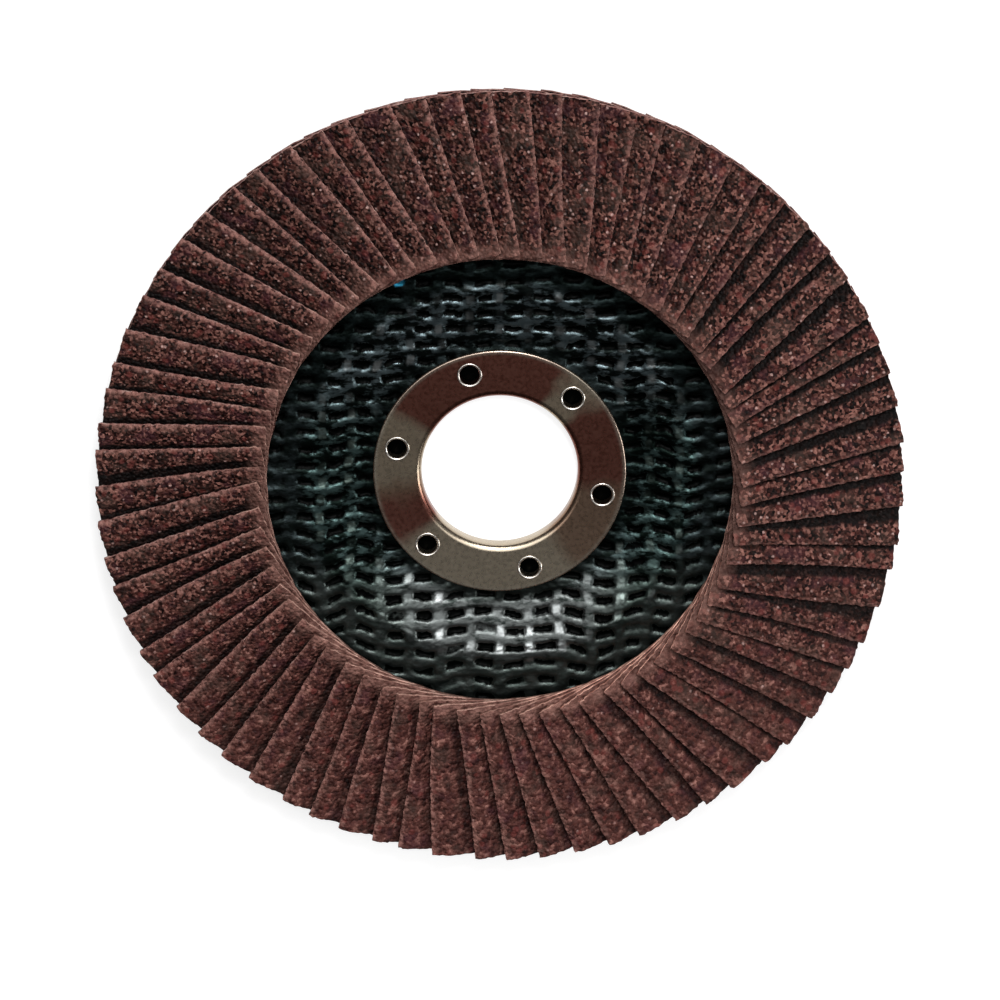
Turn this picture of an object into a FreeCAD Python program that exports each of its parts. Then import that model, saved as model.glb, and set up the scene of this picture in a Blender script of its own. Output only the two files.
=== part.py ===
import FreeCAD, Part
import math
import os

os.makedirs("parts", exist_ok=True)

# A flap disc for an angle grinder, lying on its hub with the abrasive side up.
# The origin is the centre of the bore on the hub's rear seating face, and +Z is the
# bore axis towards the abrasive side. Sizes are in millimetres, angles in degrees.

# Overall
disc_diameter = 115.0        # across the raised corners of the flaps
bore_diameter = 22.23

# Backing plate: a moulded fibreglass dish with a depressed centre
plate_thickness = 2.6
flap_overhang = 5.5          # the flaps reach this far past the plate's rim
hub_depth = 1.5              # from the flap seat down to the hub's front face
hub_margin = 1.3             # flat left on the hub outside the ring
hub_slope = 11.0             # angle of the dish between the hub and the flap seat
rear_bend_round = 4.0        # where the dish meets the hub and the seat, on the rear
rim_round = 0.6

# Centre ring: a pressed steel eyelet that clamps the plate between two flanges
ring_sheet = 0.5
ring_flange_diameter = 36.0
ring_rear_width = 1.9        # of the rear flange, from the bore's wall
ring_rear_recess = 0.1       # the rear flange lies this far inside the hub's seating face
ring_inner_bend = 0.2        # the bends at the mouths of the bore are this plus the sheet
ring_edge_round = 0.2
ring_clearance = 0.05        # between the ring and the plate it is pressed into

# Pierced collars that key the ring into the plate
collar_count = 6
collar_circle_diameter = 30.0
collar_hole_diameter = 2.7
collar_wall = 0.4
collar_depth = 1.2           # below the flange's underside
collar_entry_round = 0.4
collar_start_angle = 46.5
socket_floor = 0.3           # air left below each collar

# Abrasive flaps
flap_count = 72
flap_width = 18.0
flap_length = 24.0
cloth_thickness = 0.7
flap_gap = 0.12              # clearance between neighbouring flaps
flap_facets_long = 3         # flat facets along and across each twisted flap
flap_facets_wide = 3

# Bonding resin between the plate and the flaps
bed_thickness = 0.6
bed_inner_setback = 2.4      # from the flaps' inner ends
bed_rim_setback = 1.2        # from the plate's rim

# Woven glass that shows through the plate's resin: openings between its strands on the
# front of the dish, and grooves between the strands that run along Y on the rear
column_pitch = 4.25          # of the strands that run along Y
column_width = 1.8
row_pitch = 2.5              # of the strands that run along X
row_width = 1.5
weave_depth = 0.6
weave_margin = 0.5           # left plain beside the hub and the rim
weave_front_width = 10.4     # from the hub to the shadow of the flaps

# Roundings are short straight cuts, and small round bars, the dish and the resin bed have
# flat sides, to keep facets few
fine_cuts = 1                # on small edges
shown_cuts = 2               # on the mouth of the bore
bar_sides = 12
dish_sides = 32
bed_sides = 48

bore_radius = bore_diameter / 2
disc_radius = disc_diameter / 2
plate_radius = disc_radius - flap_overhang
flange_radius = ring_flange_diameter / 2
tube_radius = bore_radius + ring_sheet

hub_front = plate_thickness
seat_front = hub_front + hub_depth
hub_front_radius = flange_radius + hub_margin
crest_radius = hub_front_radius + hub_depth / math.tan(math.radians(hub_slope))
slope_shift = plate_thickness * math.tan(math.radians(hub_slope / 2))

ring_front = hub_front + ring_sheet
ring_rear_radius = bore_radius + ring_rear_width

half_width = flap_width / 2
flap_pitch = 360.0 / flap_count
flap_step = cloth_thickness + flap_gap
flap_outer_reach = math.sqrt(disc_radius ** 2 - half_width ** 2)
flap_inner_reach = flap_outer_reach - flap_length
bed_top = seat_front + bed_thickness

axis_origin = FreeCAD.Vector(0, 0, 0)
axis_up = FreeCAD.Vector(0, 0, 1)


def unit_between(start, end):
    length = math.hypot(end[0] - start[0], end[1] - start[1])
    return (end[0] - start[0]) / length, (end[1] - start[1]) / length


def rounding_points(here, back, ahead, rounding, cuts):
    # Points on the arc that is tangent to the lines towards back and ahead.
    to_back = unit_between(here, back)
    to_ahead = unit_between(here, ahead)
    half_angle = math.acos(to_back[0] * to_ahead[0] + to_back[1] * to_ahead[1]) / 2
    inward = unit_between((0, 0), (to_back[0] + to_ahead[0], to_back[1] + to_ahead[1]))
    reach = rounding / math.sin(half_angle)
    centre = (here[0] + inward[0] * reach, here[1] + inward[1] * reach)
    setback = rounding / math.tan(half_angle)
    first = (here[0] + to_back[0] * setback, here[1] + to_back[1] * setback)
    first_angle = math.atan2(first[1] - centre[1], first[0] - centre[0])
    turned_left = to_back[0] * to_ahead[1] - to_back[1] * to_ahead[0] < 0
    sweep = (math.pi - 2 * half_angle) * (1 if turned_left else -1)
    points = []
    for cut in range(cuts + 1):
        angle = first_angle + sweep * cut / cuts
        points.append((centre[0] + rounding * math.cos(angle), centre[1] + rounding * math.sin(angle)))
    return points


def profile_face(corners):
    # Each corner is (radius from the axis, height), or with (rounding, cuts) after them.
    outline = []
    for index, corner in enumerate(corners):
        here = corner[:2]
        if len(corner) == 2:
            outline.append(here)
            continue
        back = corners[index - 1][:2]
        ahead = corners[(index + 1) % len(corners)][:2]
        outline.extend(rounding_points(here, back, ahead, corner[2], corner[3]))
    points = [FreeCAD.Vector(r, 0, z) for r, z in outline]
    return Part.Face(Part.makePolygon(points + points[:1]))


def revolve(corners):
    return profile_face(corners).revolve(axis_origin, axis_up, 360)


def collar_places():
    places = []
    for index in range(collar_count):
        angle = math.radians(collar_start_angle + index * 360.0 / collar_count)
        reach = collar_circle_diameter / 2
        places.append((reach * math.cos(angle), reach * math.sin(angle)))
    return places


def polygon_corners(place, radius, height, sides):
    corners = []
    for side in range(sides + 1):
        angle = 2 * math.pi * (side % sides) / sides
        x = place[0] + radius * math.cos(angle)
        y = place[1] + radius * math.sin(angle)
        corners.append(FreeCAD.Vector(x, y, height))
    return corners


def polygon(place, radius, height, sides):
    return Part.makePolygon(polygon_corners(place, radius, height, sides))


def round_bar(place, sections):
    # Each section is (radius, height), from the lowest to the highest.
    rings = [polygon(place, radius, height, bar_sides) for radius, height in sections]
    return Part.makeLoft(rings, True, True)


def between_strands(pitch, reach):
    # The middles of the gaps between strands, as far as reach on both sides of the bore.
    count = math.ceil(reach / pitch)
    return [(index + 0.5) * pitch for index in range(-count, count)]


def upright_box(x, y, width, length, bottom, top):
    corner = FreeCAD.Vector(x - width / 2, y - length / 2, bottom)
    return Part.makeBox(width, length, top - bottom, corner)


def dish_front(reach):
    # The height of the dish's front at a distance from the bore axis.
    slope_height = hub_front + (reach - hub_front_radius) * math.tan(math.radians(hub_slope))
    return min(slope_height, seat_front)


def dish_hollow():
    # What is taken from the plate's front, up to one more depth of the hub above the seat.
    top_radius = 2 * crest_radius - hub_front_radius
    top = seat_front + hub_depth
    low = polygon_corners((0, 0), hub_front_radius, hub_front, dish_sides)
    high = polygon_corners((0, 0), top_radius, top, dish_sides)
    faces = [facet(low[i], low[i + 1], high[i + 1], high[i]) for i in range(dish_sides)]
    faces += [Part.Face(Part.makePolygon(corners)) for corners in (low, high)]
    return Part.makeSolid(Part.makeShell(faces))


def front_openings():
    width = column_pitch - column_width
    length = row_pitch - row_width
    nearest = hub_front_radius + weave_margin
    farthest = nearest + weave_front_width
    openings = []
    for x in between_strands(column_pitch, farthest):
        for y in between_strands(row_pitch, farthest):
            near = math.hypot(max(0, abs(x) - width / 2), max(0, abs(y) - length / 2))
            far = math.hypot(abs(x) + width / 2, abs(y) + length / 2)
            if near > nearest and far < farthest:
                bottom = dish_front(math.hypot(x, y)) - weave_depth
                openings.append(upright_box(x, y, width, length, bottom, seat_front))
    return openings


def rear_grooves():
    width = column_pitch - column_width
    nearest = crest_radius + slope_shift + weave_margin
    farthest = plate_radius - rim_round - weave_margin
    top = hub_depth + weave_depth
    grooves = []
    for x in between_strands(column_pitch, farthest):
        if abs(x) + width > farthest:
            continue
        end = math.sqrt(farthest ** 2 - (abs(x) + width / 2) ** 2)
        if abs(x) - width / 2 > nearest:
            grooves.append(upright_box(x, 0, width, 2 * end, hub_depth, top))
            continue
        start = math.sqrt(nearest ** 2 - (abs(x) - width / 2) ** 2)
        for side in (-1, 1):
            middle = side * (start + end) / 2
            grooves.append(upright_box(x, middle, width, end - start, hub_depth, top))
    return grooves


def backing_plate():
    bore = tube_radius + ring_clearance
    recess_radius = ring_rear_radius + ring_clearance
    recess_top = ring_rear_recess + ring_sheet
    plate = revolve([
        (bore, seat_front),
        (plate_radius, seat_front, rim_round, fine_cuts),
        (plate_radius, hub_depth, rim_round, fine_cuts),
        (crest_radius + slope_shift, hub_depth, rear_bend_round, fine_cuts),
        (hub_front_radius + slope_shift, 0, rear_bend_round, fine_cuts),
        (recess_radius, 0),
        (recess_radius, recess_top),
        (bore, recess_top),
    ])
    socket_radius = collar_hole_diameter / 2 + collar_wall + ring_clearance
    socket_bottom = hub_front - collar_depth - socket_floor
    socket = [(socket_radius, socket_bottom), (socket_radius, hub_front)]
    sockets = [round_bar(place, socket) for place in collar_places()]
    return plate.cut([dish_hollow()]).cut(sockets + front_openings() + rear_grooves())


def centre_ring():
    outer_bend = ring_inner_bend + ring_sheet
    recess_top = ring_rear_recess + ring_sheet
    ring = revolve([
        (flange_radius, ring_front, ring_edge_round, fine_cuts),
        (bore_radius, ring_front, outer_bend, shown_cuts),
        (bore_radius, ring_rear_recess, outer_bend, fine_cuts),
        (ring_rear_radius, ring_rear_recess),
        (ring_rear_radius, recess_top),
        (tube_radius, recess_top),
        (tube_radius, hub_front),
        (flange_radius, hub_front),
    ])
    hole_radius = collar_hole_diameter / 2
    collar_radius = hole_radius + collar_wall
    collar_bottom = hub_front - collar_depth
    collar = [(collar_radius, collar_bottom), (collar_radius, ring_front - ring_edge_round)]
    hole = [
        (hole_radius, collar_bottom),
        (hole_radius, ring_front - collar_entry_round),
        (hole_radius + collar_entry_round, ring_front),
    ]
    ring = ring.fuse([round_bar(place, collar) for place in collar_places()])
    return ring.cut([round_bar(place, hole) for place in collar_places()])


def adhesive_bed():
    inner = flap_inner_reach + bed_inner_setback
    outer = plate_radius - bed_rim_setback
    wires = [polygon((0, 0), radius, seat_front, bed_sides) for radius in (outer, inner)]
    return Part.Face(wires).extrude(axis_up * bed_thickness)


def cloth_height(x, y):
    # The buried edge lies flat on the bed, and the cloth climbs one step for each flap that
    # it passes over, so neighbours keep the same gap along the whole of their length.
    reach = math.hypot(x, y)
    buried_angle = math.asin(half_width / reach)
    flaps_below = math.degrees(buried_angle - math.atan2(y, x)) / flap_pitch
    return bed_top + flap_step * flaps_below


def evenly(start, end, steps):
    return [start + (end - start) * step / steps for step in range(steps + 1)]


def flap(angle):
    # A twisted sheet of cloth, made of flat facets because 72 smooth ones would be too heavy.
    along = evenly(flap_inner_reach, flap_outer_reach, flap_facets_long)
    across = evenly(-half_width, half_width, flap_facets_wide)
    low = [[FreeCAD.Vector(x, y, cloth_height(x, y)) for y in across] for x in along]
    high = [[point + axis_up * cloth_thickness for point in row] for row in low]
    faces = []
    for i in range(flap_facets_long):
        for j in range(flap_facets_wide):
            for sheet in (low, high):
                faces.append(facet(sheet[i][j], sheet[i + 1][j], sheet[i][j + 1]))
                faces.append(facet(sheet[i + 1][j], sheet[i + 1][j + 1], sheet[i][j + 1]))
    for i in range(flap_facets_long):
        for j in (0, -1):
            faces.append(facet(low[i][j], low[i + 1][j], high[i + 1][j], high[i][j]))
    for j in range(flap_facets_wide):
        for i in (0, -1):
            faces.append(facet(low[i][j], low[i][j + 1], high[i][j + 1], high[i][j]))
    sheet = Part.makeSolid(Part.makeShell(faces))
    sheet.rotate(axis_origin, axis_up, angle)
    return sheet


def facet(*points):
    return Part.Face(Part.makePolygon(list(points) + [points[0]]))


def flap_pair(index):
    first = flap(index * flap_pitch)
    opposite = flap(index * flap_pitch + 180)
    return Part.makeCompound([first, opposite])


backing_plate().exportStep("parts/backing_plate.step")
centre_ring().exportStep("parts/centre_ring.step")
adhesive_bed().exportStep("parts/adhesive_bed.step")
for pair in range(flap_count // 2):
    flap_pair(pair).exportStep(f"parts/flap_pair_{pair + 1:02d}.step")
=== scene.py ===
import math
import random

import bmesh
import bpy
from mathutils import Matrix, Vector, noise


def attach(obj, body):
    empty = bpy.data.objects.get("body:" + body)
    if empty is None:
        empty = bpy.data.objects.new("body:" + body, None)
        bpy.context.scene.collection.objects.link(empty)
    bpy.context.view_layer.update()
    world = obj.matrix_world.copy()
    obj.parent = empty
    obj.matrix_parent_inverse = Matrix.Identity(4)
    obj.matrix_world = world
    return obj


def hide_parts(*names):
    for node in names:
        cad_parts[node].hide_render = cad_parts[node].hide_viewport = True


# A flap disc lying on its hub, abrasive side up. Settings are in millimetres and degrees.

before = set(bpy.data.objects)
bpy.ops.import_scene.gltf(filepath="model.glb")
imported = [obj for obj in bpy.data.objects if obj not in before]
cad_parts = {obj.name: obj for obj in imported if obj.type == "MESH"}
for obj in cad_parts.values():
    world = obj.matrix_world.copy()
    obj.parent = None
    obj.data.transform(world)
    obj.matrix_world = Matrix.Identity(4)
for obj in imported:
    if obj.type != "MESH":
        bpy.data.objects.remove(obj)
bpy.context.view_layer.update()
print("frame loaded,", len(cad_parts), "nodes")

mm = 0.001                      # one millimetre of the settings in the scene's metres

camera = {
    "tilt": 18.4,               # away from straight above
    "heading": 92.0,            # the side that it leans over, from +X
    "distance": 948.0,
    "lens": 240.7,
    "aim": (0.0, -3.1, 6.5),
}

lamps = {
    "keyLamp": {"at": (60, 460, 560), "size": (300, 200), "watts": 3.4},
    "topLamp": {"at": (-40, 290, 950), "size": (760, 900), "watts": 5.0},
    "fillLamp": {"at": (430, -90, 260), "size": (160, 240), "watts": 0.9},
}

surround = {
    "sky": 0.05,
    "floor": (0.50, 0.50, 0.50),
    "glow": 0.71,               # of the floor, as the camera and the reflections see it
    "floorSize": 6.0,           # in metres
}


# Materials are written as sums of nodes

class Wire:
    def __init__(self, finish, socket):
        self.finish = finish
        self.socket = socket

    def sum(self, operation, first, second):
        return self.finish.node("ShaderNodeMath", {"operation": operation}, {0: first, 1: second})

    def __add__(self, other):
        return self.sum("ADD", self, other)

    def __radd__(self, other):
        return self.sum("ADD", other, self)

    def __sub__(self, other):
        return self.sum("SUBTRACT", self, other)

    def __rsub__(self, other):
        return self.sum("SUBTRACT", other, self)

    def __mul__(self, other):
        return self.sum("MULTIPLY", self, other)

    def __rmul__(self, other):
        return self.sum("MULTIPLY", other, self)


class Finish:
    def __init__(self, block):
        self.block = block
        self.block.use_nodes = True
        self.tree = block.node_tree
        self.tree.nodes.clear()

    def node(self, kind, settings, inputs, output=0):
        made = self.tree.nodes.new(kind)
        for key, value in settings.items():
            if key == "stops":
                ramp = made.color_ramp.elements
                while len(ramp) < len(value):
                    ramp.new(0.5)
                for stop, (place, colour) in zip(ramp, value):
                    stop.position = place
                    stop.color = (*colour, 1.0)
            else:
                setattr(made, key, value)
        for key, value in inputs.items():
            if isinstance(value, Wire):
                self.tree.links.new(value.socket, made.inputs[key])
            elif isinstance(value, tuple) and made.inputs[key].type == "RGBA":
                made.inputs[key].default_value = (*value, 1.0)
            else:
                made.inputs[key].default_value = value
        return Wire(self, made.outputs[output]) if made.outputs else made

    def place(self, kind="Object"):
        return self.node("ShaderNodeTexCoord", {}, {}, kind)

    def axis(self, place, letter):
        return self.node("ShaderNodeSeparateXYZ", {}, {0: place}, letter)

    def blend(self, amount, first, second, how="MIX"):
        settings = {"data_type": "RGBA", "blend_type": how}
        return self.node("ShaderNodeMix", settings, {0: amount, 6: first, 7: second}, 2)

    def fade(self, value, start, end):
        settings = {"interpolation_type": "SMOOTHSTEP"}
        return self.node("ShaderNodeMapRange", settings, {0: value, 1: start, 2: end})

    def ramp(self, value, *stops):
        return self.node("ShaderNodeValToRGB", {"stops": stops}, {0: value})

    def noise(self, place, size, detail=2.0, rough=0.5):
        inputs = {"Vector": place, "Scale": 1 / (size * mm), "Detail": detail, "Roughness": rough}
        return self.node("ShaderNodeTexNoise", {}, inputs)

    def cells(self, place, size, output):
        inputs = {"Vector": place, "Scale": 1 / (size * mm)}
        return self.node("ShaderNodeTexVoronoi", {}, inputs, output)

    def mapped(self, place, scale=(1, 1, 1), move=(0, 0, 0), turn=0.0):
        inputs = {"Vector": place, "Scale": scale, "Location": move, "Rotation": (0, 0, math.radians(turn))}
        return self.node("ShaderNodeMapping", {}, inputs)

    def length(self, place):
        return self.node("ShaderNodeVectorMath", {"operation": "LENGTH"}, {0: place}, "Value")

    def angle(self, place):
        inputs = {0: self.axis(place, "Y"), 1: self.axis(place, "X")}
        return self.node("ShaderNodeMath", {"operation": "ARCTAN2"}, inputs) * math.degrees(1)

    def bump(self, height, distance, strength=1.0):
        inputs = {"Height": height, "Distance": distance * mm, "Strength": strength}
        return self.node("ShaderNodeBump", {}, inputs)

    def surface(self, **inputs):
        named = {key.replace("_", " "): value for key, value in inputs.items()}
        shader = self.node("ShaderNodeBsdfPrincipled", {}, named)
        self.node("ShaderNodeOutputMaterial", {}, {"Surface": shader})
        return self.block


def newFinish(name):
    return Finish(bpy.data.materials.new(name))


def grainFinish():
    f = newFinish("abrasiveGrain")
    place = f.place()
    reach = f.length(f.mapped(place, (1, 1, 0)))
    fromEdge = f.axis(f.place("UV"), "Y")
    # Places on the disc, where the painted light and shade below differ, and where the grain is sharper on
    # the upper half
    y = f.axis(place, "Y")
    high = f.fade(y, -0.048, 0.0)
    right = f.fade(f.axis(place, "X"), -0.020, 0.040)
    turn = f.angle(place)
    top = f.fade(turn, 38, 62) * f.fade(turn, 150, 102)
    bottom = f.fade(turn, -140, -112) * f.fade(turn, -58, -78)
    grit = f.cells(place, 0.55, "Distance")
    tint = f.axis(f.cells(place, 0.55, "Color"), "X")
    fineTint = f.axis(f.cells(place, 0.40, "Color"), "Z")
    lumps = f.noise(place, 1.35, 2.5, 0.58)
    cloud = f.noise(place, 4.0, 2.0)
    soft = tint * 0.26 + lumps * 1.05 - 0.12
    sharp = fineTint * 0.82 + tint * 0.20 + lumps * 0.60 - 0.33
    grain = f.ramp(
        soft + (sharp - soft) * high,
        (0.14, (0.0030, 0.0010, 0.0009)),
        (0.40, (0.0300, 0.0090, 0.0076)),
        (0.62, (0.0900, 0.0320, 0.0260)),
        (0.92, (0.3600, 0.1750, 0.1450)),
    )
    # Painted light and shade: the flaps brighter towards the bottom, darker on the upper half, and darker
    # still at the upper left
    paintedLightLevel = f.blend(high, (1.12, 1.10, 1.08), (0.73, 0.67, 0.64))
    upperLeftShade = f.fade(y, 0.012, 0.036) * (1 - right)
    paintedLightLevel = f.blend(upperLeftShade * 0.8, paintedLightLevel, (0.50, 0.46, 0.44))
    grain = f.blend(1.0, grain, paintedLightLevel, "MULTIPLY")
    grain = f.blend(f.fade(cloud, 0.50, 0.68) * 0.45, grain, (0.062, 0.037, 0.029))
    grain = f.blend(f.fade(cloud, 0.46, 0.30) * 0.45, grain, (0.075, 0.023, 0.029))
    spot = f.axis(f.cells(place, 1.15, "Color"), "Z")
    redSpot = f.fade(spot, 0.80, 0.88) * f.fade(f.cells(place, 1.15, "Distance"), 0.55, 0.30)
    grain = f.blend(redSpot * 0.5, grain, (0.160, 0.036, 0.030))
    # Painted glints of the grit: small pale specks, more of them and brighter on the upper half
    chance = f.axis(f.cells(place, 0.60, "Color"), "Y") + high * 0.05
    ragged = f.cells(place, 0.60, "Distance") + f.noise(place, 0.25) * 0.5
    paintedGlint = f.fade(chance, 0.93, 1.03) * f.fade(ragged, 0.72, 0.42)
    grain = f.blend(paintedGlint * (high * 0.3 + 0.35), grain, (0.60, 0.38, 0.34))
    # A lighter strip along each raised edge, partly wear and partly a painted highlight, weaker towards the
    # right
    edgePatches = f.fade(f.noise(place, 0.8, 3.0, 0.6), 0.36, 0.62)
    wornEdgeAndHighlight = f.fade(fromEdge + lumps * 0.30, 0.36, 0.14) * edgePatches
    grain = f.blend(wornEdgeAndHighlight * (0.75 - right * 0.45), grain, (0.37, 0.180, 0.150))
    # Painted shade in the valley at the foot of the next flap's raised edge: wider on the right, stronger
    # on the upper half, weaker at the top and the bottom
    valleyShade = f.fade(fromEdge + lumps * 0.26 + right * 0.13, 0.86, 1.00)
    valleyShade = valleyShade * (high * 0.26 + 0.70 - top * 0.70 - bottom * 0.22)
    grain = f.blend(valleyShade, grain, (0.0015, 0.0008, 0.0007))
    # A pale band near the inner ends, partly the cloth's own colour and partly painted light: weaker on the
    # upper half, and weakest at the upper right
    nearEnd = f.fade(reach + lumps * 0.0014, 0.0372, 0.0347)
    band = f.ramp(lumps, (0.35, (0.11, 0.044, 0.035)), (0.65, (0.36, 0.185, 0.150)))
    grain = f.blend(nearEnd * (0.78 - high * 0.30 - high * right * 0.20), grain, band)
    height = (1 - grit) * 0.9 + lumps * 1.2
    return f.surface(
        Base_Color=grain, Roughness=0.62 - paintedGlint * 0.35, Normal=f.bump(height, 0.36),
        Specular_IOR_Level=0.12
    )


def cutClothFinish():
    f = newFinish("cutCloth")
    place = f.place()
    reach = f.length(f.mapped(place, (1, 1, 0)))
    fray = f.noise(place, 0.45, 3.0, 0.65)
    patch = f.noise(place, 1.6, 2.0)
    colour = f.ramp(
        fray * 0.8 + patch * 0.7 - 0.25,
        (0.28, (0.14, 0.050, 0.044)),
        (0.50, (0.40, 0.190, 0.165)),
        (0.72, (0.80, 0.540, 0.470)),
    )
    inside = f.ramp(
        patch * 0.7 + fray * 0.3,
        (0.42, (0.29, 0.140, 0.112)),
        (0.58, (0.72, 0.435, 0.355)),
    )
    # Painted light: the inner ends brighter at the lower right
    turn = f.angle(place)
    glow = f.fade(turn, -90, -65) * f.fade(turn, -5, -30)
    inside = f.blend(glow, inside, (1.9, 1.8, 1.75), "MULTIPLY")
    colour = f.blend(f.fade(reach, 0.040, 0.0362), colour, inside)
    return f.surface(
        Base_Color=colour, Roughness=0.8, Normal=f.bump(fray, 0.15, 0.8), Specular_IOR_Level=0.2
    )


def clothBackFinish():
    f = newFinish("clothBack")
    place = f.place()
    warp = f.node("ShaderNodeTexWave", {"bands_direction": "X"}, {"Vector": place, "Scale": 900.0})
    weft = f.node("ShaderNodeTexWave", {"bands_direction": "Y"}, {"Vector": place, "Scale": 900.0})
    threads = warp * 0.5 + weft * 0.5
    patch = f.noise(place, 3.0, 3.0)
    colour = f.ramp(
        threads * 0.5 + patch * 0.5,
        (0.25, (0.05, 0.022, 0.016)),
        (0.75, (0.16, 0.080, 0.055)),
    )
    return f.surface(Base_Color=colour, Roughness=0.75, Normal=f.bump(threads, 0.12, 0.6))


def fibreglassFinish():
    # The mesh carries the strands' height as u and the sheen of their crossings as v.
    f = newFinish("blackFibreglass")
    place = f.place()
    reach = f.length(f.mapped(place, (1, 1, 0)))
    height, sheen = f.axis(f.place("UV"), "X"), f.axis(f.place("UV"), "Y")
    pores = f.noise(place, 0.45, 3.0, 0.6)
    y = f.axis(place, "Y")
    # Painted light: the plate lighter low down, and its strands lighter in a ring round the hub from about
    # 21 to 27 mm
    low = f.fade(y, -0.010, -0.019)
    near = f.fade(reach, 0.0290, 0.0268) * f.fade(reach, 0.0190, 0.0208)
    piece = f.noise(f.mapped(place, (0.45, 1, 1)), 0.95, 3.0, 0.62)
    patch = f.fade(f.noise(place, 4.2, 2.0), 0.34, 0.62)
    piece = f.fade(piece + low * near * 0.12 + patch * 0.10, 0.50, 0.66)
    strand = f.fade(height + (pores - 0.5) * 0.3, 0.40, 0.66)
    bright = f.blend(low, (0.095, 0.125, 0.135), (0.088, 0.096, 0.094))
    dim = f.blend(low, (0.0060, 0.0085, 0.0080), (0.0200, 0.0250, 0.0230))
    colour = f.blend(piece * (near * 0.85 + 0.15), dim, bright)
    colour = f.blend(strand, (0.0002, 0.0004, 0.0003), colour)
    # Painted glints on the strands where they cross, in that ring and strongest low down
    glint = sheen * near * (patch * 0.4 + low * 0.5 + 0.1)
    colour = f.blend(glint, colour, (0.66, 0.70, 0.70))
    fromSpeck = f.length(f.mapped(place, (760, 600, 0), (10.87, -17.4, 0)))
    front = f.fade(f.axis(place, "Z"), 0.0018, 0.0024)
    blue = f.fade(fromSpeck + pores * 0.5, 1.15, 0.85) * front
    colour = f.blend(blue, colour, (0.050, 0.360, 0.600))
    # Painted shade beside the flaps on the upper half and at the sides of the ring, and painted light
    # beside the flaps on the lower half
    outside = f.fade(reach, 0.0275, 0.0292)
    aside = f.fade(f.length(f.mapped(place, (1, 0, 0))), 0.009, 0.021)
    aside = aside * f.fade(y, 0.016, 0.004) * (1 - outside)
    colour = f.blend(aside, colour, (0.46, 0.57, 0.51), "MULTIPLY")
    colour = f.blend(outside * f.fade(y, 0.004, 0.018), colour, (0.45, 0.50, 0.48), "MULTIPLY")
    colour = f.blend(outside * f.fade(y, 0.004, -0.012), colour, (1.6, 1.6, 1.6), "MULTIPLY")
    return f.surface(
        Base_Color=colour, Metallic=strand * 0.93 + glint * 0.05, Roughness=0.34 - glint * 0.06,
        Normal=f.bump(pores, 0.08, 0.6), Specular_IOR_Level=0.02
    )


def platedSteelFinish():
    f = newFinish("platedSteel")
    place = f.place()
    reach = f.length(f.mapped(place, (1, 1, 0)))
    smear = f.noise(place, 4.0, 2.0)
    fine = f.noise(place, 0.5, 3.0)
    # Painted reflections: arcs of taupe, brown and maroon round the ring
    turn = f.angle(place) * (1 / 360) + 0.5 + (smear - 0.5) * 0.05
    taupe, brown, maroon = (0.56, 0.49, 0.37), (0.33, 0.22, 0.15), (0.23, 0.066, 0.046)
    arcs = [
        (-180, taupe), (-170, brown), (-160, maroon), (-148, maroon), (-140, taupe), (-58, taupe),
        (-46, brown), (-14, brown), (-4, maroon), (33, maroon), (40, taupe), (55, taupe),
        (62, maroon), (146, maroon), (154, taupe), (180, taupe),
    ]
    colour = f.ramp(turn, *((0.5 + degrees / 360, tint) for degrees, tint in arcs))
    colour = f.blend(fine * 0.4, colour, (0.36, 0.25, 0.21))
    # Painted shade: the ring darker towards the top
    upper = f.fade(f.axis(place, "Y"), -0.017, 0.006)
    colour = f.blend(upper * 0.7, colour, (0.55, 0.50, 0.46), "MULTIPLY")
    # Painted highlights on the flange's outer edge and on the raised lips round the holes
    colour = f.blend(f.fade(reach, 0.0172, 0.0179) * 0.5, colour, (0.62, 0.56, 0.46))
    raisedLip = f.fade(f.axis(place, "Z"), 0.00311, 0.00318)
    colour = f.blend(raisedLip * 0.8, colour, (0.80, 0.76, 0.70))
    return f.surface(
        Base_Color=colour, Metallic=1.0, Roughness=0.20 + fine * 0.16, Normal=f.bump(smear, 0.05, 0.3)
    )


def resinFinish():
    f = newFinish("brownResin")
    place = f.place()
    flow = f.noise(place, 2.5, 3.0)
    colour = f.ramp(flow, (0.3, (0.10, 0.055, 0.03)), (0.7, (0.24, 0.14, 0.08)))
    return f.surface(Base_Color=colour, Roughness=0.35, Normal=f.bump(flow, 0.3, 0.6))


# Shapes

def finishPiece(name, bm, materials, replaces):
    bmesh.ops.scale(bm, verts=bm.verts, vec=(mm, mm, mm))
    mesh = bpy.data.meshes.new(name)
    bm.to_mesh(mesh)
    bm.free()
    for material in materials:
        mesh.materials.append(material)
    for face in mesh.polygons:
        face.use_smooth = abs(face.normal.z) < 0.99999
    piece = bpy.data.objects.new(name, mesh)
    bpy.context.scene.collection.objects.link(piece)
    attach(piece, "root")
    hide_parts(*replaces)
    return piece


axisReach = 0.001               # a spun outline keeps this far from its axis


def smoothStep(value, start, end):
    t = min(1.0, max(0.0, (value - start) / (end - start)))
    return t * t * (3 - 2 * t)


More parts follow.
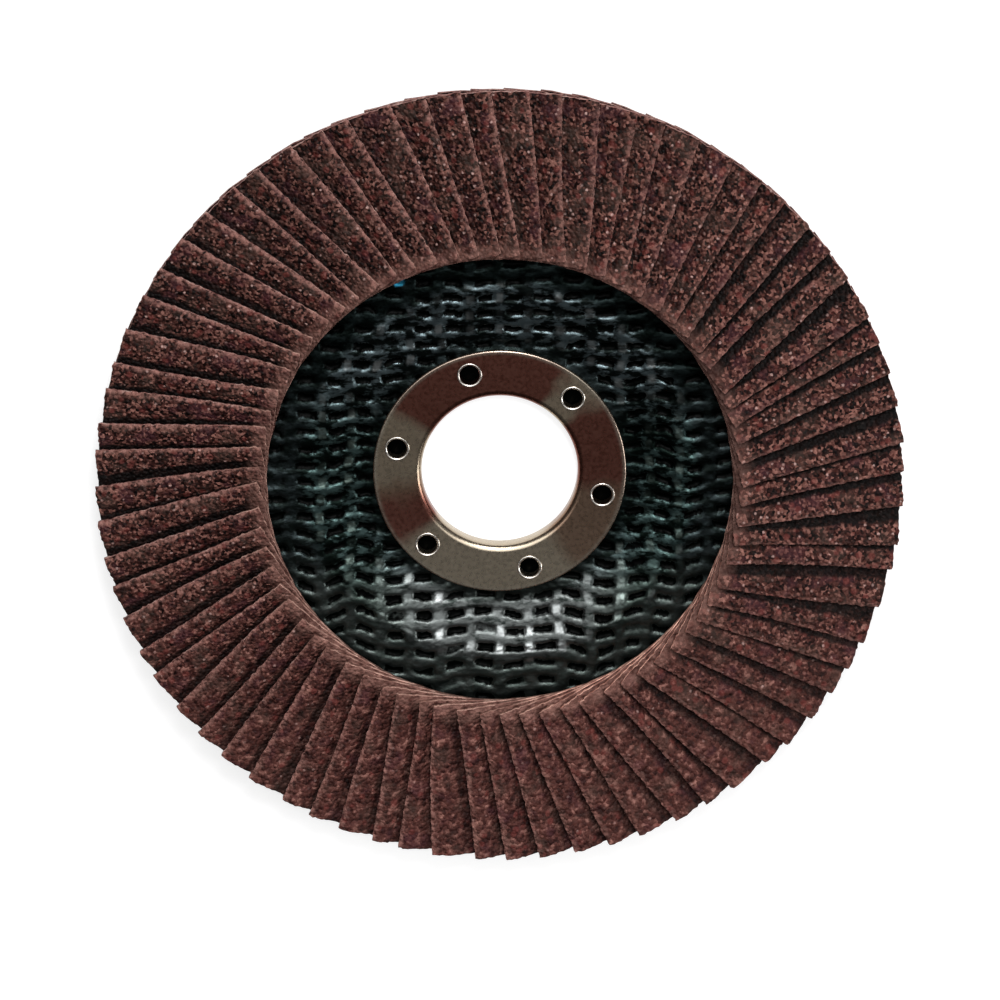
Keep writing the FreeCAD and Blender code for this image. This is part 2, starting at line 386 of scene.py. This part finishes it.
flaps = {
    "count": 72,
    "width": 18.0,
    "innerReach": 32.8,
    "outerReach": 56.79,
    "bed": 4.7,                 # height of the resin that the buried edges lie on
    "rise": 0.82,               # of the whole pack, for each flap that lies under a point
    "lift": 0.62,               # the free strip of a flap stands this much clear of the next
    "liftFades": (0.35, 1.0),   # over these shares of the way to the next flap's edge
    "pressedLift": 0.3,         # share of the lift that is left at the inner ends
    "pressedReach": (33.5, 38.0),
    "thickness": 0.56,
    "innerThickness": 0.76,     # at the inner ends, where they are pressed together
    "thickReach": (33.5, 36.0),
    "droop": (0.20, 0.9),       # how far the raised edge is rounded down, and over what width
    "ragged": 0.20,             # how far the cut edges stray
    "cells": (54, 22),          # along and across
    "fineCells": 15,            # of those across, on the strip that shows
    "fineWidth": 6.0,
    "edgeRound": 0.14,
    "edgeWander": 0.33,         # how unevenly the raised edges are spaced
    "endWander": 0.07,
    "cornerWear": 0.13,         # the raised corners are worn back by this much
    "cornerSize": 1.2,
    "buriedReach": 56.9,        # the buried corners are trimmed round
    "grain": 0.11,              # height of the coarse grit on the strip that shows
    "grainEnds": (0.9, 1.2),    # where it ends, in flaps from the raised edge
    "seed": 700,
}


def flapHeight(x, y):
    # The buried edge lies on the bed. Each flap climbs over the ones below, and its strip that
    # shows lifts away from them, so no two flaps touch.
    reach = math.hypot(x, y)
    pitch = 2 * math.pi / flaps["count"]
    buried = math.asin(flaps["width"] / 2 / reach)
    fromEdge = (math.atan2(y, x) + buried) / pitch
    across = 2 * buried / pitch
    pressed = flaps["pressedLift"]
    lift = flaps["lift"] * (pressed + (1 - pressed) * smoothStep(reach, *flaps["pressedReach"]))
    climb = (flaps["rise"] * across - lift) * (1 - fromEdge / across)
    return flaps["bed"] + climb + lift * (1 - smoothStep(fromEdge, *flaps["liftFades"]))


def fromEdgeOf(spot):
    # How many flaps lie between a point of a flap and its raised edge.
    buried = math.asin(flaps["width"] / 2 / math.hypot(spot.x, spot.y))
    return (math.atan2(spot.y, spot.x) + buried) * flaps["count"] / (2 * math.pi)


# How many round the disc, how far in radians, and where each starts
waves = [
    (5, 0.0035, 0.4), (9, 0.0045, 2.1), (14, 0.0040, 5.2), (23, 0.0050, 1.3), (31, 0.0035, 3.7),
]


def unevenAngle(angle):
    # One smooth stretch of the whole pack keeps the flaps clear of each other.
    return angle + sum(size * math.sin(count * angle + start) for count, size, start in waves)


def addFlap(bm, uvs, number):
    draw = random.Random(flaps["seed"] + number)
    half = flaps["width"] / 2
    edge = draw.uniform(-1, 1) * flaps["edgeWander"]
    skew = draw.uniform(-1, 1) * flaps["edgeWander"]
    inner = flaps["innerReach"] + draw.uniform(0, 1.6) * flaps["endWander"]
    outer = flaps["outerReach"] - draw.uniform(0, 1.6) * flaps["endWander"]
    long, wide = flaps["cells"]
    made = bmesh.ops.create_grid(bm, x_segments=long, y_segments=wide, size=1, calc_uvs=False)["verts"]
    turn = 2 * math.pi * number / flaps["count"]
    home = {}
    for vert in made:
        u = (vert.co.x + 1) / 2
        step = (vert.co.y + 1) / 2 * wide
        if step <= flaps["fineCells"]:
            down = flaps["fineWidth"] * step / flaps["fineCells"]
        else:
            rest = (step - flaps["fineCells"]) / (wide - flaps["fineCells"])
            down = flaps["fineWidth"] + (flaps["width"] - flaps["fineWidth"]) * rest
        start = -half + edge + skew * (u - 0.5)
        x, y = inner + (outer - inner) * u, start + down * (half - start) / flaps["width"]
        corner = max(0.0, 1 - down / flaps["cornerSize"]) ** 2 * flaps["cornerWear"]
        x += corner * (smoothStep(u, 0.06, 0.0) - smoothStep(u, 0.94, 1.0))
        if y > 0:
            x = min(x, math.sqrt(flaps["buriedReach"] ** 2 - y * y) - (1 - u) * 0.5)
        z = flapHeight(x, y) - flaps["droop"][0] * max(0.0, 1 - down / flaps["droop"][1]) ** 2
        stray = noise.noise(Vector((x * 1.4, number * 5.0, 2.0)))
        stray += 0.6 * noise.noise(Vector((x * 3.1, number * 5.0, 7.0)))
        y += flaps["ragged"] * stray * max(0.0, 1 - down / 1.2)
        stray = noise.noise(Vector((y * 1.7, number * 5.0, 4.0))) - 0.5
        x -= flaps["ragged"] * stray * (smoothStep(u, 0.04, 0.0) - smoothStep(u, 0.96, 1.0))
        vert.co = (x, y, z)
        fromEdge = math.atan2(y, x) - math.atan2(start, x)
        home[vert] = (u, fromEdge * flaps["count"] / (2 * math.pi))
    faces = list({face for vert in made for face in vert.link_faces})
    for face in faces:
        face.material_index = 0
        for loop in face.loops:
            loop[uvs].uv = home[loop.vert]
    grown = bmesh.ops.extrude_face_region(bm, geom=faces)["geom"]
    top = [item for item in grown if isinstance(item, bmesh.types.BMVert)]
    topFaces = {item for item in grown if isinstance(item, bmesh.types.BMFace)}
    for vert in top:
        spot = Vector((vert.co.x, vert.co.y, number * 7.0))
        grit = noise.noise(spot * 1.7) * 0.7 + noise.noise(spot * 0.7) * 0.5
        shown = 1 - smoothStep(fromEdgeOf(vert.co), *flaps["grainEnds"])
        pressed = 1 - smoothStep(vert.co.x, *flaps["thickReach"])
        thick = flaps["thickness"] + (flaps["innerThickness"] - flaps["thickness"]) * pressed
        vert.co.z += thick + flaps["grain"] * grit * shown
    for face in faces:
        face.material_index = 2
        face.normal_flip()
    sides = {face for vert in top for face in vert.link_faces} - topFaces
    for face in sides:
        face.material_index = 1
    rim = [e for e in {e for v in top for e in v.link_edges} if len(set(e.link_faces) & topFaces) == 1]
    bmesh.ops.bevel(bm, geom=rim, offset=flaps["edgeRound"], offset_type="OFFSET", segments=2,
                    profile=0.5, affect="EDGES", material=-1, clamp_overlap=True)
    return turn


def placeFlap(bm, verts, turn):
    for vert in verts:
        x, y, z = vert.co
        reach = math.hypot(x, y)
        angle = unevenAngle(math.atan2(y, x) + turn)
        vert.co = (reach * math.cos(angle), reach * math.sin(angle), z)


def makeFlaps(materials):
    for pair in range(flaps["count"] // 2):
        bm = bmesh.new()
        uvs = bm.loops.layers.uv.new("cloth")
        for number in (pair, pair + flaps["count"] // 2):
            before = set(bm.verts)
            turn = addFlap(bm, uvs, number)
            placeFlap(bm, [vert for vert in bm.verts if vert not in before], turn)
        bmesh.ops.recalc_face_normals(bm, faces=bm.faces)
        label = f"{pair + 1:02d}"
        finishPiece("flapCloth_" + label, bm, materials, ["flap_pair_" + label])


def rounded(corners, cuts):
    # Corners are (radius, height) or (radius, height, rounding).
    points = []
    for index, corner in enumerate(corners):
        here = Vector(corner[:2])
        if len(corner) == 2:
            points.append(here)
            continue
        back = (Vector(corners[index - 1][:2]) - here).normalized()
        ahead = (Vector(corners[(index + 1) % len(corners)][:2]) - here).normalized()
        halfAngle = back.angle(ahead) / 2
        centre = here + (back + ahead).normalized() * corner[2] / math.sin(halfAngle)
        first = here + back * corner[2] / math.tan(halfAngle) - centre
        sweep = (math.pi - 2 * halfAngle) * (1 if back.cross(ahead) < 0 else -1)
        for cut in range(cuts + 1):
            points.append(centre + Matrix.Rotation(sweep * cut / cuts, 2) @ first)
    return points


def divided(points, stepAt):
    # Points go on at the spacing that stepAt gives where each one lies.
    runs = []
    for index, start in enumerate(points):
        end = points[(index + 1) % len(points)]
        here, length = 0.0, (end - start).length
        while here < length - 1e-6:
            runs.append(start.lerp(end, here / length))
            here += stepAt(runs[-1])
            if here > length * 0.999 or length - here < stepAt(end) * 0.4:
                break
    return runs


def spun(points, steps):
    bm = bmesh.new()
    verts = [bm.verts.new((point.x, 0, point.y)) for point in points]
    edges = [bm.edges.new((vert, verts[index - 1])) for index, vert in enumerate(verts)]
    bmesh.ops.spin(bm, geom=verts + edges, cent=(0, 0, 0), axis=(0, 0, 1), angle=2 * math.pi,
                   steps=steps, use_merge=True)
    bmesh.ops.remove_doubles(bm, verts=bm.verts, dist=1e-5)
    bmesh.ops.recalc_face_normals(bm, faces=bm.faces)
    return bm


def joined(base, tool, operation):
    tool.hide_render = True
    change = base.modifiers.new(operation, "BOOLEAN")
    change.object = tool
    change.operation = operation
    change.solver = "EXACT"
    shaped = bpy.data.meshes.new_from_object(base.evaluated_get(bpy.context.evaluated_depsgraph_get()))
    base.modifiers.clear()
    base.data = shaped
    bpy.data.objects.remove(tool)


def looseObject(bm):
    mesh = bpy.data.meshes.new("tool")
    bm.to_mesh(mesh)
    bm.free()
    made = bpy.data.objects.new("tool", mesh)
    bpy.context.scene.collection.objects.link(made)
    return made


def freed(body):
    bm = bmesh.new()
    bm.from_mesh(body.data)
    bpy.data.objects.remove(body)
    return bm


def roundHoles(outline, sides):
    bm = bmesh.new()
    for index in range(ring["holes"]):
        angle = math.radians(ring["firstHole"] + index * 360 / ring["holes"])
        place = (ring["holeCircle"] * math.cos(angle), ring["holeCircle"] * math.sin(angle), 0)
        part = spun(outline, sides)
        bmesh.ops.translate(part, verts=part.verts, vec=place)
        mesh = bpy.data.meshes.new("hole")
        part.to_mesh(mesh)
        part.free()
        bm.from_mesh(mesh)
    return looseObject(bm)


plate = {
    "bore": 11.665,
    "hubFront": 2.6,
    "hubEdge": 19.3,
    "crest": 27.02,
    "seat": 4.1,
    "rear": 1.5,
    "rearShift": 0.25,
    "bend": 5.0,                # rounding where the dish meets the hub and the seat
    "rim": 52.0,
    "recess": (13.065, 0.6),
    "rowPitch": 2.5,            # of the strands that run along X
    "rowWidth": 1.75,
    "columnPitch": 4.25,        # of the strands that run along Y
    "columnWidth": 2.0,
    "wander": 0.45,             # of each column
    "stagger": 1.5,             # of the rows, from one column to the next
    "depth": 0.60,              # from a strand's top to the resin between
    "weaveInner": 13.2,         # the walls inside this radius are plain
    "weaveFront": (17.9, 18.5, 34.6, 35.4),     # radii where it starts and ends, each over a width
    "weaveRear": (13.3, 13.8, 50.4, 51.4),
    "boreRound": 0.25,
    "rimRound": 0.6,
    "socket": (1.8, 1.1, 3.2),  # radius and heights of the holes for the ring's collars
    "sides": 576,
    "fineStep": 0.27,           # spacing of the outline's points where the weave shows
    "fineReach": (17.2, 36.0),
    "rearStep": 0.9,
    "plainStep": 1.6,
}


def strandProfile(offset, width):
    # Flat on top, where the resin has filled it out.
    return math.sqrt(max(0.0, 1 - abs(2 * offset / width) ** 5))


def weaveAt(x, y):
    # The height of the strands at a point, and the sheen of those along Y where they show
    # between the ones along X.
    fine = noise.noise(Vector((x * 1.3, y * 1.9, 8.0)))
    x += noise.noise(Vector((x * 0.09, y * 0.09, 3.0))) * 0.8
    column = round(x / plate["columnPitch"])
    aside = x - column * plate["columnPitch"]
    aside += noise.noise(Vector((y * 0.3, column * 3.1, 9.0))) * plate["wander"]
    y += noise.noise(Vector((x * 0.17, y * 0.05, 5.0))) * plate["stagger"]
    row = round(y / plate["rowPitch"])
    gap = math.floor(y / plate["rowPitch"])
    along = y - row * plate["rowPitch"]
    between = 0.5 - 0.5 * math.cos(2 * math.pi * along / plate["rowPitch"])
    rowSwell = 0.45 * noise.noise(Vector((x * 0.45, row * 4.3, 6.0))) + 0.25 * fine
    columnSwell = 0.50 * noise.noise(Vector((column * 4.3, y * 0.5, 6.0))) + 0.25 * fine
    rowTop = 0.88 + 0.22 * noise.noise(Vector((x * 0.4, row * 2.3, 1.0)))
    columnTop = 0.82 + 0.24 * noise.noise(Vector((y * 0.4, column * 2.7, 4.0)))
    filled = noise.cell(Vector((math.floor(x / plate["columnPitch"]) + 0.5, gap + 0.5, 7.5)))
    height = max(
        strandProfile(along, plate["rowWidth"] * (1 + rowSwell)) * rowTop,
        strandProfile(aside, plate["columnWidth"] * (1 + columnSwell)) * columnTop,
        0.9 * filled - 0.35,    # resin fills some of the openings
    )
    chance = 0.5 + 0.5 * noise.cell(Vector((column + 0.5, gap + 0.5, 2.5)))
    sheen = smoothStep(abs(aside), 0.62, 0.36) * smoothStep(between, 0.20, 0.70) * chance ** 1.6
    return min(1.0, height + 0.08 * fine), sheen


def makePlate(material):
    p = plate
    bore, front, seat = p["bore"], p["hubFront"], p["seat"]
    outline = rounded([
        (bore, front, p["boreRound"]),
        (p["hubEdge"], front, p["bend"]),
        (p["crest"], seat, p["bend"]),
        (p["rim"], seat, p["rimRound"]),
        (p["rim"], p["rear"], p["rimRound"]),
        (p["crest"] + p["rearShift"], p["rear"], p["bend"]),
        (p["hubEdge"] + p["rearShift"], 0, p["bend"]),
        (p["recess"][0], 0),
        p["recess"],
        (bore, p["recess"][1], p["boreRound"]),
    ], 6)

    def stepAt(point):
        if point.y > p["rear"] + 0.5:
            nearest, furthest = p["fineReach"]
            return p["fineStep"] if nearest < point.x < furthest else p["plainStep"]
        return p["rearStep"] if point.x > p["weaveInner"] else p["plainStep"]

    bm = spun(divided(outline, stepAt), p["sides"])
    bm.normal_update()
    weave = bm.loops.layers.uv.new("weave")
    moves, looks = {}, {}
    for vert in bm.verts:
        reach = math.hypot(vert.co.x, vert.co.y)
        facing = vert.normal.z
        if abs(facing) < 0.35 or reach < p["weaveInner"]:
            continue
        ends = p["weaveFront"] if facing > 0 else p["weaveRear"]
        share = smoothStep(reach, *ends[:2]) * (1 - smoothStep(reach, *ends[2:]))
        if share > 0:
            height, sheen = weaveAt(vert.co.x, vert.co.y)
            moves[vert] = vert.normal * (-p["depth"] * share * (1 - height))
            looks[vert] = (1 - share + share * height, share * sheen)
    for vert, move in moves.items():
        vert.co += move
    for face in bm.faces:
        for loop in face.loops:
            loop[weave].uv = looks.get(loop.vert, (0.5, 0.0))
    body = looseObject(bm)
    wide, low, high = p["socket"]
    socket = rounded([(axisReach, low), (wide, low), (wide, high), (axisReach, high)], 1)
    joined(body, roundHoles(socket, 32), "DIFFERENCE")
    return finishPiece("plateMoulding", freed(body), [material], ["backing_plate"])


ring = {
    "bore": 11.115,
    "front": 3.1,
    "sheet": 0.5,
    "flange": 18.0,
    "rearWidth": 1.9,
    "rearRecess": 0.1,
    "seat": 2.6,
    "holes": 6,
    "holeCircle": 15.0,
    "holeRadius": 1.35,
    "collarWall": 0.4,
    "collarDepth": 1.2,
    "mouth": 0.30,
    "lip": 0.14,                # round each hole, above the flange
    "lipRadius": 1.80,
    "firstHole": 46.5,
    "flangeRound": 0.24,
    "boreRounds": (0.95, 0.7),  # at the front and at the rear
    "backRound": 0.2,
}


def makeRing(material):
    r = ring
    tube = r["bore"] + r["sheet"]
    rear = r["bore"] + r["rearWidth"]
    recess = r["rearRecess"] + r["sheet"]
    outline = rounded([
        (r["flange"], r["front"], r["flangeRound"]),
        (r["bore"], r["front"], r["boreRounds"][0]),
        (r["bore"], r["rearRecess"], r["boreRounds"][1]),
        (rear, r["rearRecess"]),
        (rear, recess),
        (tube, recess, r["backRound"]),
        (tube, r["seat"], r["backRound"]),
        (r["flange"], r["seat"]),
    ], 8)
    body = looseObject(spun(outline, 256))
    low = r["seat"] - r["collarDepth"]
    wall = r["holeRadius"] + r["collarWall"]
    top = r["front"] + r["lip"]
    middle = (r["seat"] + r["front"]) / 2
    collar = rounded([
        (axisReach, low), (wall, low), (wall, middle), (r["lipRadius"], middle),
        (r["lipRadius"], top, r["lip"] * 1.2), (axisReach, top),
    ], 6)
    joined(body, roundHoles(collar, 48), "UNION")
    mouth = rounded([
        (axisReach, low - 1), (r["holeRadius"], low - 1), (r["holeRadius"], top, r["mouth"]),
        (4.0, top), (4.0, top + 2), (axisReach, top + 2),
    ], 8)
    joined(body, roundHoles(mouth, 48), "DIFFERENCE")
    return finishPiece("ringEyelet", freed(body), [material], ["centre_ring"])


# The floor, the lamps and the camera

def makeFloor():
    bm = bmesh.new()
    bmesh.ops.create_grid(bm, x_segments=1, y_segments=1, size=surround["floorSize"])
    mesh = bpy.data.meshes.new("floor")
    bm.to_mesh(mesh)
    bm.free()
    floor = bpy.data.objects.new("floor", mesh)
    bpy.context.scene.collection.objects.link(floor)
    f = newFinish("paleFloor")
    matt = f.node("ShaderNodeBsdfDiffuse", {}, {"Color": surround["floor"]})
    rays = ("Camera", "Glossy", "Transmission")
    seen = [f.node("ShaderNodeLightPath", {}, {}, f"Is {kind} Ray") for kind in rays]
    glow = f.node("ShaderNodeEmission", {}, {"Color": (1.0, 1.0, 1.0), "Strength": surround["glow"]})
    dark = f.node("ShaderNodeEmission", {}, {"Color": (0.0, 0.0, 0.0), "Strength": 0.0})
    glow = f.node("ShaderNodeMixShader", {}, {0: seen[0] + seen[1] + seen[2], 1: dark, 2: glow})
    both = f.node("ShaderNodeAddShader", {}, {0: matt, 1: glow})
    f.node("ShaderNodeOutputMaterial", {}, {"Surface": both})
    mesh.materials.append(f.block)


def aimed(place, target, up):
    back = (place - target).normalized()
    right = up.cross(back).normalized()
    turn = Matrix((right, back.cross(right), back)).transposed().to_4x4()
    return Matrix.Translation(place) @ turn


def makeLamps():
    for name, lamp in lamps.items():
        data = bpy.data.lights.new(name, "AREA")
        data.shape = "RECTANGLE"
        data.size, data.size_y = (side * mm for side in lamp["size"])
        data.energy = lamp["watts"]
        made = bpy.data.objects.new(name, data)
        bpy.context.scene.collection.objects.link(made)
        made.matrix_world = aimed(Vector(lamp["at"]) * mm, Vector((0, 0, 0)), Vector((1, 0, 0)))
    world = bpy.data.worlds.new("studio")
    bpy.context.scene.world = world
    f = Finish(world)
    sky = f.node("ShaderNodeBackground", {}, {"Color": (1.0, 1.0, 1.0), "Strength": surround["sky"]})
    f.node("ShaderNodeOutputWorld", {}, {"Surface": sky})


def makeCamera():
    data = bpy.data.cameras.new("camera")
    data.lens = camera["lens"]
    data.sensor_width = 36.0
    data.clip_start, data.clip_end = 0.01, 100.0
    made = bpy.data.objects.new("camera", data)
    bpy.context.scene.collection.objects.link(made)
    tilt, heading = math.radians(camera["tilt"]), math.radians(camera["heading"])
    aside = math.sin(tilt)
    away = Vector((math.cos(heading) * aside, math.sin(heading) * aside, math.cos(tilt)))
    target = Vector(camera["aim"])
    made.matrix_world = aimed((target + away * camera["distance"]) * mm, target * mm, Vector((0, 1, 0)))
    bpy.context.scene.camera = made
    bpy.context.scene.view_settings.view_transform = "Standard"


makeCamera()
makeLamps()
makeFloor()
print("camera, lamps and floor made")

makeFlaps([grainFinish(), cutClothFinish(), clothBackFinish()])
print("flaps made")
makePlate(fibreglassFinish())
print("plate made")
makeRing(platedSteelFinish())
print("ring made")
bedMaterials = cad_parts["adhesive_bed"].data.materials
bedMaterials.clear()
bedMaterials.append(resinFinish())
print("resin finished")
